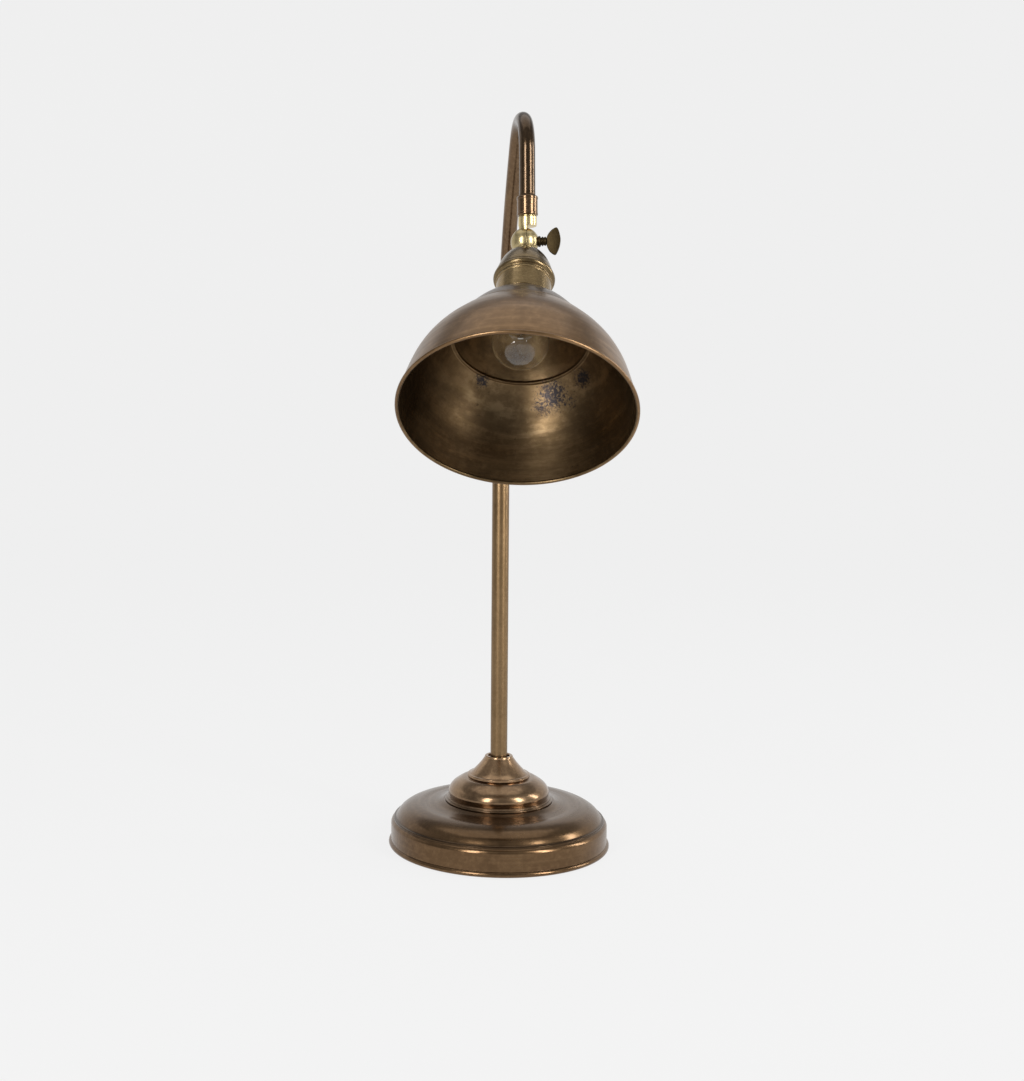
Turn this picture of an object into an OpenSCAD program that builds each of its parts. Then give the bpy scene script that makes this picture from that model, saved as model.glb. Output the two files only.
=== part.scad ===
// Swing arm desk lamp: dish base, straight pole, swinging crook arm, ball knuckle and spun shade.
// Millimetres, +Z up, origin at the middle of the underside. The crook lies in the YZ plane.

/* [Base] */
// Radius of the rolled lip
base_r = 105; // [90:0.5:125]
// Height of the dish shoulder
shoulder_z = 27.4; // [22:0.2:34]
// Height of the dish where the dome stands on it
dish_z = 43.6; // [38:0.2:52]
// Thickness of the spun brass
sheet = 1.5; // [1:0.1:2.5]
// Radius of the dome's foot
dome_r = 51; // [44:0.5:58]
// Height where the flared collar stands on the dome
collar_z = 66.6; // [60:0.2:74]
// Height of the top of the collar
collar_top = 86.6; // [80:0.2:96]

/* [Pole] */
// Outer radius of the pole
pole_r = 8; // [6:0.25:10]
// Wall of the pole tube
pole_wall = 1.2; // [0.8:0.1:2]
// Height of the top of the pole
pole_top = 350; // [320:1:380]

/* [Crook] */
// Outer radius of the crook tube
tube_r = 6.5; // [5:0.25:8]
// Wall of the crook tube
tube_wall = 1.2; // [0.8:0.1:2]
// Height where the crook starts to lean forward
lean_z = 372; // [366:1:400]
// Radius of the long forward sweep
sweep_r = 420; // [300:5:600]
// Angle turned by the long sweep
sweep_a = 40; // [30:0.5:50]
// Radius of the top bend
bend_r = 34; // [28:0.5:60]
// Lean of the free end from straight down
end_lean = 5.5; // [0:0.5:12]
// Straight length after the top bend
end_len = 38; // [30:1:60]

/* [Head] */
// Distance from the crook's end to the knuckle's hinge
knuckle_drop = 35.7; // [30:0.5:40]
// Turn of the knuckle in the ferrule
knuckle_turn = -12.8; // [-30:1:30]
// Tilt of the head about the knuckle
head_tilt = 33.5; // [0:0.1:60]
// Sideways offset of the head's axis from the knuckle's seam
head_shift = -1; // [-4:0.1:0]
// Radius of the knuckle's ball
ball_r = 11.4; // [10:0.1:11.5]
// Distance from the hinge to the top of the shade
neck_t = 65.4; // [60:0.2:75]
// Distance from the hinge to the shade's rim
rim_t = 177.8; // [160:0.5:200]
// Radius of the shade's rim
rim_r = 90.7; // [80:0.1:110]
// Thickness of the spun shade
shade_wall = 1.1; // [0.8:0.1:2]

/* [Bulb] */
// Radius of the bulb's glass ball
bulb_r = 22.3; // [20:0.1:25]
// Distance from the hinge to the middle of the glass ball
bulb_t = 106.5; // [100:0.5:115]

/* [Hidden] */
$fn = 96;
bend_a = 180 - end_lean - sweep_a;
c1 = [sweep_r, lean_z];
p1 = [c1[0] - sweep_r * cos(sweep_a), c1[1] + sweep_r * sin(sweep_a)];
c2 = [p1[0] + bend_r * cos(sweep_a), p1[1] - bend_r * sin(sweep_a)];
p2 = [c2[0] + bend_r * cos(end_lean), c2[1] + bend_r * sin(end_lean)];
end_s = p2[0] + end_len * sin(end_lean);
end_z = p2[1] - end_len * cos(end_lean);
ball_s = end_s + knuckle_drop * sin(end_lean);
ball_z = end_z - knuckle_drop * cos(end_lean);
in_z = 41.9;
ball_x = -2.3;

brass = [0.55, 0.45, 0.26];
bronze = [0.36, 0.27, 0.18];
polished = [0.78, 0.69, 0.42];
steel = [0.62, 0.62, 0.63];
iron = [0.2, 0.2, 0.21];
black = [0.08, 0.08, 0.08];
porcelain = [0.9, 0.89, 0.85];
glass = [0.85, 0.9, 0.92, 0.35];
copper = [0.72, 0.42, 0.28];

// ---------- helpers ----------

// Points of an arc, for profiles.
function arc(c, r, a0, a1, n) = [for (i = [0:n]) c + r * [cos(a0 + (a1 - a0) * i / n), sin(a0 + (a1 - a0) * i / n)]];

// Smooth curve through points, n steps between each pair.
function spline(P, n) = [for (i = [0:len(P) - 2]) each [for (j = [0:n - 1]) spline_at(P, i, j / n)], P[len(P) - 1]];
function spline_at(P, i, u) = let (
    a = P[max(i - 1, 0)],
    b = P[i],
    c = P[i + 1],
    d = P[min(i + 2, len(P) - 1)]
) 0.5 * (2 * b + (c - a) * u + (2 * a - 5 * b + 4 * c - d) * u * u + (3 * b - a - 3 * c + d) * u * u * u);

// Curve moved sideways by a wall's thickness, to the right of its direction.
function side(P, w) = [for (i = [0:len(P) - 1]) let (
    a = P[max(i - 1, 0)],
    b = P[min(i + 1, len(P) - 1)],
    d = (b - a) / norm(b - a)
) P[i] + w * [d[1], -d[0]]];

function flip(P) = [for (i = [len(P) - 1:-1:0]) P[i]];

// Profile point given as radius and distance below the hinge.
function down(P) = [for (p = P) [p[0], -p[1]]];

module ring(r0, r1, z0, z1) {
    translate([0, 0, z0]) difference() {
        cylinder(r = r1, h = z1 - z0);
        translate([0, 0, -1]) cylinder(r = r0, h = z1 - z0 + 2);
    }
}

module hex(r, z0, z1, bore) {
    translate([0, 0, z0]) difference() {
        cylinder(r = r, h = z1 - z0, $fn = 6);
        translate([0, 0, -1]) cylinder(r = bore, h = z1 - z0 + 2);
    }
}

// Places things on the free end of the crook, hinge axis along X.
module knuckle_frame() {
    translate([0, -ball_s, ball_z]) rotate([-end_lean, 0, 0]) rotate([0, 0, knuckle_turn]) children();
}

// Places things on the head, shade axis down -Z.
module head_frame() {
    knuckle_frame() rotate([-head_tilt, 0, 0]) translate([head_shift, 0, 0]) children();
}

// The four stretches of the crook, each as a solid rod, a hair's breadth apart.
module crook_foot(r, z0) {
    translate([0, 0, z0]) cylinder(r = r, h = lean_z - z0 - 0.01);
}

module crook_sweep(r) {
    rotate([0, 0, -90]) translate([c1[0], 0, c1[1]]) rotate([90, 0, 0]) rotate([0, 0, 180 - sweep_a])
        rotate_extrude(angle = sweep_a) translate([sweep_r, 0]) circle(r = r);
}

module crook_top(r) {
    rotate([0, 0, -90]) translate([c2[0], 0, c2[1]]) rotate([90, 0, 0]) rotate([0, 0, end_lean + 0.02])
        rotate_extrude(angle = bend_a - 0.04) translate([bend_r, 0]) circle(r = r);
}

module crook_tail(r, len) {
    rotate([0, 0, -90]) translate([p2[0], 0, p2[1]]) rotate([0, 180 - end_lean, 0]) cylinder(r = r, h = len);
}

// ---------- base ----------

cover_top = concat(
    [[base_r - 2.2, 5.4], [base_r - 2.2, shoulder_z - 6.4]],
    arc([base_r - 7.2, shoulder_z - 6.4], 5, 0, 52, 6),
    [[base_r - 4.9, shoulder_z - 1.9], [base_r - 4.9, shoulder_z - 0.7],
     [base_r - 5.5, shoulder_z - 0.1], [base_r - 6.5, shoulder_z]],
    spline([[base_r - 7.2, shoulder_z + 0.5], [base_r - 11.6, shoulder_z + 6.2],
        [base_r - 19, shoulder_z + 10.6],
        [base_r - 28.5, shoulder_z + 12.8], [base_r - 38, shoulder_z + 13.2],
            [base_r - 46.5, shoulder_z + 14.2],
        [dome_r + 1.5, dish_z]], 5));

module base_cover() {
    color(bronze) difference() {
        rotate_extrude() polygon(concat(
            [[base_r - 4.4, 0.4], [base_r - 2.5, 0.4]],
            arc([base_r - 2.5, 2.9], 2.5, -80, 80, 12),
            cover_top,
            [[6, dish_z], [6, in_z], [dome_r - 4, in_z]],
            [[dome_r + 8, shoulder_z + 12.8], [base_r - 33, shoulder_z + 11.2],
                [base_r - 21.5, shoulder_z + 8.2],
             [base_r - 13.6, shoulder_z + 3.8], [base_r - 7.6, shoulder_z - 2.6],
                 [base_r - 3.8, shoulder_z - 7.4],
             [base_r - 3.8, 5.4], [base_r - 4.8, 4.6]]));
        translate([0, base_r, 14]) rotate([90, 0, 0]) cylinder(r = 4.3, h = 12, center = true);
    }
}

module base_felt() {
    color(black) cylinder(r = base_r - 5, h = 2);
}

module base_weight() {
    color(iron) difference() {
        union() {
            translate([0, 0, 2]) cylinder(r = base_r - 6, h = 10);
            translate([0, 0, 2]) cylinder(r = 15, h = in_z - 2);
            for (a = [30, 150, 270]) rotate([0, 0, a]) translate([12, -3, 2]) cube([48, 6, 24]);
        }
        translate([0, 0, 1]) cylinder(r = 5.2, h = 60);
        translate([0, 0, 1]) cylinder(r = 11.4, h = 21.4);
        translate([-13, 8, 1]) cube([26, 110, 12]);
        translate([-60, 0, 8]) cylinder(r = 2, h = 10);
    }
}

module base_dome() {
    o = concat(
        [[dome_r - 0.5, dish_z], [dome_r, dish_z + 0.5], [dome_r, dish_z + 1.3], [dome_r - 0.5, dish_z + 1.8],
         [dome_r - 1.8, dish_z + 1.9], [dome_r - 1.8, dish_z + 3.0], [dome_r - 2.3, dish_z + 3.4]],
        spline([[dome_r - 4.4, dish_z + 3.6], [dome_r - 3.9, dish_z + 5.4], [dome_r - 3.3, dish_z + 8.2],
            [dome_r - 4.2, dish_z + 12.0], [dome_r - 7, dish_z + 15.8], [dome_r - 11.4, dish_z + 19.2],
            [dome_r - 16.2, dish_z + 21.8], [30.6, collar_z - 0.4]], 5),
        [[29.6, collar_z], [6, collar_z]]);
    color(bronze) rotate_extrude() polygon(concat(o,
        [[6, collar_z - sheet], [29, collar_z - sheet - 0.4], [dome_r - 16.8, dish_z + 20.0],
         [dome_r - 12.4, dish_z + 17.6], [dome_r - 8.3, dish_z + 14.6], [dome_r - 5.8, dish_z + 11.2],
         [dome_r - 5.0, dish_z + 8.0], [dome_r - 5.6, dish_z + 4.6], [dome_r - 6, dish_z]]));
}

module base_collar() {
    color(bronze) rotate_extrude() polygon(concat(
        [[6, collar_z], [29.2, collar_z], [29.8, collar_z + 0.5], [29.8, collar_z + 2.0],
            [29.0, collar_z + 2.6],
         [27.6, collar_z + 2.8]],
        spline([[26.8, collar_z + 3.2], [24.2, collar_z + 5.4], [20.6, collar_z + 9.2],
            [17.2, collar_z + 13.2],
            [14.4, collar_z + 17.0], [13.4, collar_z + 18.4]], 5),
        [[13.4, collar_z + 19], [13.2, collar_top - 0.4], [12.6, collar_top], [10.6, collar_top],
         [10.2, collar_top - 0.4], [10.2, collar_top - 6.6], [8.05, collar_top - 6.6], [8.05, collar_z + 5.4],
         [6, collar_z + 5.4]]));
}

module base_nipple() {
    color(steel) ring(3.6, 5, 15.4, collar_z + 22);
}

module base_washer() {
    color(steel) ring(5.15, 10.4, 20.9, 22.4);
}

module base_nut() {
    color(steel) hex(9.2, 16, 20.9, 5.02);
}

module cord_inlet_bush() {
    color(black) translate([0, 0, 14]) rotate([-90, 0, 0]) difference() {
        union() {
            translate([0, 0, 90]) cylinder(r = 4.2, h = 14);
            translate([0, 0, base_r - 2.1]) cylinder(r1 = 6, r2 = 5.2, h = 1.9);
        }
        translate([0, 0, 80]) cylinder(r = 3, h = 40);
    }
}

module cord_inlet_nut() {
    color(black) translate([0, 0, 14]) rotate([-90, 0, 0]) hex(7.2, 96.4, 100.6, 4.2);
}

module terminal_block() {
    color(porcelain) difference() {
        translate([-11, 54, 3]) cube([22, 16, 10]);
        for (x = [-5.5, 5.5]) {
            translate([x, 50, 8]) rotate([-90, 0, 0]) cylinder(r = 1.9, h = 30);
            for (y = [58, 66]) translate([x, y, 8]) cylinder(r = 1.7, h = 8);
        }
    }
}

module terminal_screws() {
    color(steel) for (x = [-5.5, 5.5], y = [58, 66]) translate([x, y, 9]) difference() {
        cylinder(r = 1.6, h = 3.6);
        translate([-2, -0.3, 2.8]) cube([4, 0.6, 2]);
    }
}

module earth_screw() {
    color(brass) {
        translate([-60, 0, 8.1]) cylinder(r = 1.9, h = 5);
        translate([-60, 0, 12]) difference() {
            cylinder(r = 3.6, h = 2.2);
            translate([-4, -0.4, 1.2]) cube([8, 0.8, 2]);
        }
    }
}

// ---------- pole ----------

module pole_ring() {
    color(bronze) rotate_extrude() polygon([[8.02, collar_top - 6.6], [10.1, collar_top - 6.6],
        [10.1, collar_top - 3.2], [9.6, collar_top - 2.6], [9.0, collar_top - 1.6],
            [8.02, collar_top - 1.2]]);
}

module pole_plug() {
    color(brass) ring(5.02, pole_r - pole_wall, collar_z + 5.4, collar_z + 26);
}

module pole_tube() {
    color(brass) ring(pole_r - pole_wall, pole_r, collar_z + 5.4, pole_top);
}

module pole_bearing() {
    color(brass) rotate_extrude() polygon([[5.0, pole_top - 32], [pole_r - pole_wall, pole_top - 32],
        [pole_r - pole_wall, pole_top], [pole_r + 0.6, pole_top], [pole_r + 0.6, pole_top + 1.6],
        [pole_r + 0.2, pole_top + 2], [5.0, pole_top + 2]]);
}

module pole_wires() {
    color(black) {
        translate([0, 9, 6]) rotate([-90, 0, 0]) cylinder(r = 1.7, h = 44);
        translate([0, 9, 15]) rotate([0, 0, 90]) rotate([90, 0, 0]) rotate([0, 0, 180])
            rotate_extrude(angle = 90) translate([9, 0]) circle(r = 1.7);
        translate([0, 0, 15]) cylinder(r = 1.7, h = pole_top - 50);
    }
}

// ---------- arm ----------

module arm_pivot() {
    z = pole_top + 2.15;
    color(bronze) rotate_extrude() polygon([[3, z - 31], [4.93, z - 31], [4.93, z], [9.0, z], [9.4, z + 0.5],
        [9.4, z + 2.4], [8.8, z + 3], [8.2, z + 3.4], [8.2, z + 12], [9.0, z + 12.4], [9.0, z + 14.4],
        [8.4, z + 15], [tube_r, z + 15], [tube_r, z + 5], [3, z + 5]]);
}

module crook_stem() {
    color(bronze) difference() {
        crook_foot(tube_r, pole_top + 7.15);
        crook_foot(tube_r - tube_wall, pole_top + 6);
    }
    color(bronze) difference() {
        crook_sweep(tube_r);
        crook_sweep(tube_r - tube_wall);
    }
}

module crook_bend() {
    color(bronze) difference() {
        crook_top(tube_r);
        crook_top(tube_r - tube_wall);
    }
    color(bronze) difference() {
        crook_tail(tube_r, end_len);
        crook_tail(tube_r - tube_wall, end_len + 1);
    }
}

module arm_ferrule() {
    color(bronze) knuckle_frame() rotate_extrude() polygon([[4.5, 21.2], [8.0, 21.2], [8.5, 21.7],
        [8.5, 23.1],
        [8.3, 23.4], [8.3, 34.2], [8.6, 34.5], [8.6, 35.8], [8.1, 36.7], [tube_r, 36.7], [tube_r, 26.2],
            [4.5, 26.2]]);
}

// Radius of the knuckle's ball at a distance along the hinge.
function ball_at(x) = sqrt(ball_r * ball_r - (x - ball_x) * (x - ball_x));

module knuckle_fork() {
    color(polished) knuckle_frame() difference() {
        union() {
            rotate([0, 90, 0]) rotate_extrude() polygon(concat([[0, -0.12], [ball_at(-0.12), -0.12]],
                [for (a = [-2:9:88]) [ball_r * cos(a), ball_x - ball_r * sin(a)]], [[0, ball_x - ball_r]]));
            difference() {
                rotate_extrude() polygon([[0, 3], [6.6, 3], [6.9, 11.5], [7.4, 13.6], [7.4, 19.8],
                    [7.0, 20.6],
                    [7.0, 21.2], [4.5, 21.2], [4.5, 26], [0, 26]]);
                translate([-0.12, -15, -5]) cube([20, 30, 17.8]);
            }
        }
        translate([0, 0, 12.4]) cylinder(r = 2.4, h = 30);
        rotate([0, -90, 0]) translate([0, 0, -1]) cylinder(r = 2.46, h = 10);
    }
}

module arm_wires() {
    color(black) {
        crook_foot(1.7, pole_top - 26);
        crook_sweep(1.7);
        crook_top(1.7);
        crook_tail(1.7, end_len + 12);
    }
}

// ---------- thumbscrew ----------

module thumb_screw() {
    color(bronze) knuckle_frame() rotate([0, 90, 0]) rotate_extrude() polygon([[0, -8.6], [2.4, -8.4],
        [2.4, 8.6],
        [4.0, 8.6], [4.4, 9.0], [4.4, 10.0], [4.0, 10.5], [3.1, 10.7], [3.1, 11.4], [3.8, 11.7], [3.8, 12.5],
        [3.1, 12.8], [3.1, 13.4], [3.6, 13.7], [3.6, 14.6], [3.0, 15.2], [0, 15.2]]);
}

wing = spline([[15.2, 2.2], [16.3, 5.2], [19.0, 8.6], [22.8, 10.8], [24.6, 9.6], [26.0, 5.4], [26.6, 0.4],
    [25.6, -5.4], [23.2, -10.6], [21.4, -11.3], [18.2, -9.0], [16.1, -5.6], [15.2, -2.2]], 5);

module thumb_wing() {
    color(bronze) knuckle_frame() rotate([90, 0, 0]) translate([0, 0, -1.1]) linear_extrude(2.2) polygon(wing);
}

// ---------- head ----------

module knuckle_tongue() {
    color(polished) knuckle_frame() rotate([-head_tilt, 0, 0]) difference() {
        union() {
            rotate([0, 90, 0]) rotate_extrude() polygon(concat([[0, 0.12]],
                [for (i = [0:8]) let (x = 0.12 + 8.28 * sin(90 * i / 8)) [ball_at(x), x]], [[0, 8.4]]));
            translate([0.12, -4.6, -12.4]) cube([6, 9.2, 9]);
            translate([head_shift, 0, -13]) cylinder(r = 6.6, h = 1.3);
        }
        rotate([0, 90, 0]) translate([0, 0, -1]) cylinder(r = 2.48, h = 20);
        translate([head_shift, 0, -14]) cylinder(r = 5.02, h = 2);
    }
}

cup_curve = spline([[6.8, 13.4], [10.4, 14.9], [14.2, 18.0], [17.6, 22.8], [20.3, 28.6], [22.1, 34.4],
    [22.7, 37.2]], 5);

module holder_cup() {
    color(brass) head_frame() rotate_extrude() polygon(down(concat(
        [[5.2, 13.0], [6.4, 13.0]], cup_curve,
        [[23.2, 37.7], [23.4, 38.6], [23.3, 39.2]],
        arc([21.9, 41.8], 2.6, -50, 62, 10),
        [[22.3, 44.6], [21.9, 45.0], [21.9, 46.0], [22.4, 46.4], [22.4, 47.4], [21.7, 47.9], [21.7, neck_t],
         [20.6, neck_t], [20.6, 33.4], [18.6, 28.4], [16.0, 23.6], [12.6, 19.2], [9.6, 16.4], [7.0, 14.6],
         [5.2, 14.6]])));
}

module head_nipple() {
    color(steel) head_frame() ring(3.2, 5, -36, -12.1);
}

module head_nut() {
    color(steel) head_frame() hex(7, -18.8, -15, 5.02);
}

module holder_body() {
    color(black) head_frame() rotate_extrude() polygon(down([[5, 28], [8, 28], [8, 37], [17.0, 38.4],
        [19.0, 40.4],
        [19.0, 60], [19.5, 60], [19.5, 76], [14.2, 76], [14.2, 45], [3, 45], [3, 36.2], [5, 36.2]]));
}

module holder_sleeve() {
    color(brass) head_frame() rotate_extrude() polygon(down([[14.2, 46], [14.2, 74.5], [13.5, 74.5],
        [13.5, 47],
        [9, 47], [9, 46]]));
}

module holder_contact() {
    color(brass) head_frame() translate([0, 0, -49.2]) {
        cylinder(r = 3.4, h = 1);
        cylinder(r = 1.6, h = 4.2);
    }
}

module holder_ring() {
    color(black) head_frame() difference() {
        rotate_extrude() polygon(down([[19.6, neck_t + 2.2], [20.8, neck_t + 2.2], [22.6, neck_t + 4.2],
            [23.0, neck_t + 6.2], [22.4, neck_t + 7], [19.6, neck_t + 7]]));
    }
}

shade_curve = spline([[21.4, neck_t + 0.2], [25.7, 70.0], [31.0, 75.0], [36.4, 80.0], [41.7, 86.0],
    [46.2, 92.0],
    [50.2, 98.0], [52.8, 102.0]], 5);
shade_body = spline([[55.0, 104.4], [59.6, 109.6], [64.7, 116.0], [70.9, 124.2], [76.9, 134.0], [81.7, 145.0],
    [85.2, 157.0], [87.8, 168.0], [rim_r - 1.6, rim_t - 2.4]], 5);

module shade() {
    color(bronze) head_frame() rotate_extrude() polygon(down(concat(
        [[19.7, neck_t + 0.1], [20.6, neck_t + 0.1]], shade_curve, [[53.9, 102.8], [54.2, 103.6]], shade_body,
        arc([rim_r - 1.5, rim_t - 1.5], 1.5, -50, 180, 12),
        flip(side(shade_body, -shade_wall)), [[53.2, 105.4], [51.6, 105.4], [51.2, 104.4]],
        flip(side(shade_curve, -shade_wall)),
        [[19.7, neck_t + 1.4]])));
}

module head_wires() {
    color(black) head_frame() translate([0, 0, -44]) cylinder(r = 1.7, h = 32);
}

// ---------- bulb ----------

glass_neck = 78.6;
glass_out = concat([[12.2, glass_neck - 2.2], [12.3, glass_neck], [12.9, glass_neck + 3.4]],
    [for (a = [-52:6:84]) [bulb_r * cos(a), bulb_t + bulb_r * sin(a)]], [[0, bulb_t + bulb_r]]);
glass_in = concat([[0, bulb_t + bulb_r - 0.8]],
    [for (a = [84:-6:-52]) [(bulb_r - 0.8) * cos(a), bulb_t + (bulb_r - 0.8) * sin(a)]],
    [[12.1, glass_neck + 3.6], [11.5, glass_neck], [11.4, glass_neck - 2.2]]);

module bulb_glass() {
    color(glass) head_frame() rotate_extrude() polygon(down(concat(glass_out, glass_in)));
}

module bulb_cap() {
    color(steel) head_frame() rotate_extrude() polygon(down(concat(
        [[8.2, 53.6], [10.2, 53.6], [11.6, 55.0]],
        [for (i = [0:5]) each [[13.2, 56.6 + i * 3.4], [13.2, 57.4 + i * 3.4], [12.4, 58.8 + i * 3.4],
            [12.4, 59.4 + i * 3.4]]],
        [[13.0, 78.0], [13.2, 79.0], [12.6, 79.0], [12.6, 76], [11.3, 75.2], [11.3, 56.4], [10.2, 55],
         [8.2, 55]])));
}

module bulb_insulator() {
    color(black) head_frame() rotate_extrude() polygon(down([[4.0, 51.2], [5.2, 51.2], [8.2, 53.6], [8.2, 55],
        [4.0, 55]]));
}

module bulb_contact() {
    color(steel) head_frame() rotate_extrude() polygon(down([[0, 49.4], [2.6, 49.8], [4.0, 51.2],
        [4.0, 54], [0, 54]]));
}

module bulb_mount() {
    color(glass) head_frame() rotate_extrude() polygon(down([[0, 92], [2.0, 91.4], [2.6, 88], [2.6, 80],
        [4.6, 76.4],
        [9.4, 75.6], [11.2, 75.6], [11.2, 74.8], [9, 74.4], [3.6, 75], [0, 77]]));
}

module bulb_filament() {
    color(copper) head_frame() {
        for (x = [-7, 7]) {
            translate([x * 0.22, 0, -103]) rotate([0, -x * 3.4, 0]) translate([0, 0, 0.4]) cylinder(r = 0.35, h = 12.2);
        }
        translate([0, 0, -103]) rotate([0, 90, 0]) cylinder(r = 0.9, h = 4, center = true);
    }
}

base_felt();
base_weight();
base_cover();
base_dome();
base_collar();
base_nipple();
base_washer();
base_nut();
cord_inlet_bush();
cord_inlet_nut();
terminal_block();
terminal_screws();
earth_screw();
pole_ring();
pole_plug();
pole_tube();
pole_bearing();
pole_wires();
arm_pivot();
crook_stem();
crook_bend();
arm_ferrule();
knuckle_fork();
arm_wires();
knuckle_tongue();
holder_cup();
head_nipple();
head_nut();
holder_body();
holder_sleeve();
holder_contact();
holder_ring();
shade();
head_wires();
thumb_screw();
thumb_wing();
bulb_glass();
bulb_cap();
bulb_insulator();
bulb_contact();
bulb_mount();
bulb_filament();
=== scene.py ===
import math

import bmesh
import bpy
from mathutils import Matrix, Vector


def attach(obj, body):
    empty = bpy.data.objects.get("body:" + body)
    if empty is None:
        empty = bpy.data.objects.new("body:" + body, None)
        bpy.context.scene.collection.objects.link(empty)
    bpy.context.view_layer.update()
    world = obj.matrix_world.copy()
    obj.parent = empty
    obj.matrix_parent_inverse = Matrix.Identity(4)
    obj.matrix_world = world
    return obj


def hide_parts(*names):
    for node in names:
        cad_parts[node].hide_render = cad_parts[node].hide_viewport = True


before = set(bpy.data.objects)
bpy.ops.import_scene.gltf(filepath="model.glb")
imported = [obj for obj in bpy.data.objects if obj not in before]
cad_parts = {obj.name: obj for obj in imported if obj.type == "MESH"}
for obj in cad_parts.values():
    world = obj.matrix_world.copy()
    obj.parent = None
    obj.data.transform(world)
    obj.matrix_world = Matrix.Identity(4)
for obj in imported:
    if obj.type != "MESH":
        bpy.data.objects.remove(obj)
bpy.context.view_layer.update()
MM = 0.001

# ---------------------------------------------------------------- camera, in metres and degrees
CAMERA_AT = (-0.1636, -1.3307, 0.4163)
CAMERA_PITCH, CAMERA_YAW = 84.69, -2.5
LENS, SENSOR, SHIFT_X = 47.49, 36.0, 0.1143

cam_data = bpy.data.cameras.new("camera")
cam = bpy.data.objects.new("camera", cam_data)
bpy.context.scene.collection.objects.link(cam)
cam_data.sensor_width = SENSOR
cam_data.lens = LENS
cam_data.shift_x = SHIFT_X
cam_data.clip_end = 30.0
cam.location = CAMERA_AT
cam.rotation_euler = (math.radians(CAMERA_PITCH), 0.0, math.radians(CAMERA_YAW))
bpy.context.scene.camera = cam
bpy.context.scene.view_settings.view_transform = "Standard"
bpy.context.scene.view_settings.look = "None"

# ---------------------------------------------------------------- shapes, in millimetres
BASE_R, SHOULDER_Z, DISH_Z, IN_Z = 105.0, 27.4, 43.6, 41.9
DOME_R, COLLAR_Z, COLLAR_TOP = 51.0, 66.6, 86.6
POLE_R, POLE_WALL, POLE_TOP = 8.0, 1.2, 350.0
TUBE_R, TUBE_WALL, LEAN_Z = 6.5, 1.2, 372.0
SWEEP_R, SWEEP_A, BEND_R, END_LEAN, END_LEN = 420.0, 40.0, 34.0, 5.5, 38.0
KNUCKLE_DROP, KNUCKLE_TURN, HEAD_TILT, HEAD_SHIFT = 35.7, -12.8, 33.5, -1.0
BALL_R, BALL_X, NECK_T, RIM_T, RIM_R, SHADE_WALL = 11.4, -2.3, 65.4, 177.8, 90.7, 1.1
BULB_R, BULB_T = 22.3, 106.5


def sin(a):
    return math.sin(math.radians(a))


def cos(a):
    return math.cos(math.radians(a))


BEND_A = 180 - END_LEAN - SWEEP_A
C1 = (SWEEP_R, LEAN_Z)
P1 = (C1[0] - SWEEP_R * cos(SWEEP_A), C1[1] + SWEEP_R * sin(SWEEP_A))
C2 = (P1[0] + BEND_R * cos(SWEEP_A), P1[1] - BEND_R * sin(SWEEP_A))
P2 = (C2[0] + BEND_R * cos(END_LEAN), C2[1] + BEND_R * sin(END_LEAN))
END = (P2[0] + END_LEN * sin(END_LEAN), P2[1] - END_LEN * cos(END_LEAN))
BALL = (END[0] + KNUCKLE_DROP * sin(END_LEAN), END[1] - KNUCKLE_DROP * cos(END_LEAN))

KNUCKLE = (Matrix.Translation((0, -BALL[0] * MM, BALL[1] * MM))
           @ Matrix.Rotation(math.radians(-END_LEAN), 4, "X")
           @ Matrix.Rotation(math.radians(KNUCKLE_TURN), 4, "Z"))
TONGUE = KNUCKLE @ Matrix.Rotation(math.radians(-HEAD_TILT), 4, "X")
HEAD = TONGUE @ Matrix.Translation((HEAD_SHIFT * MM, 0, 0))
UPRIGHT = Matrix.Identity(4)
ALONG_X = Matrix.Rotation(math.radians(90), 4, "Y")
ALONG_Y = Matrix.Rotation(math.radians(-90), 4, "X")


def arc(c, r, a0, a1, n):
    return [(c[0] + r * cos(a0 + (a1 - a0) * i / n),
             c[1] + r * sin(a0 + (a1 - a0) * i / n)) for i in range(n + 1)]


def spline(pts, n):
    """The same curve as the CAD's, through pts with n steps between each pair."""
    out = []
    for i in range(len(pts) - 1):
        a, b, c, d = pts[max(i - 1, 0)], pts[i], pts[i + 1], pts[min(i + 2, len(pts) - 1)]
        for j in range(n):
            u = j / n
            out.append(tuple(0.5 * (2 * b[k] + (c[k] - a[k]) * u
                                    + (2 * a[k] - 5 * b[k] + 4 * c[k] - d[k]) * u * u
                                    + (3 * b[k] - a[k] - 3 * c[k] + d[k]) * u ** 3) for k in (0, 1)))
    return out + [tuple(pts[-1])]


def side(pts, w):
    """A curve moved sideways by w, to the right of its direction."""
    out = []
    for i, p in enumerate(pts):
        a, b = pts[max(i - 1, 0)], pts[min(i + 1, len(pts) - 1)]
        dx, dy = b[0] - a[0], b[1] - a[1]
        n = math.hypot(dx, dy)
        out.append((p[0] + w * dy / n, p[1] - w * dx / n))
    return out


def down(pts):
    return [(r, -t) for r, t in pts]


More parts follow.
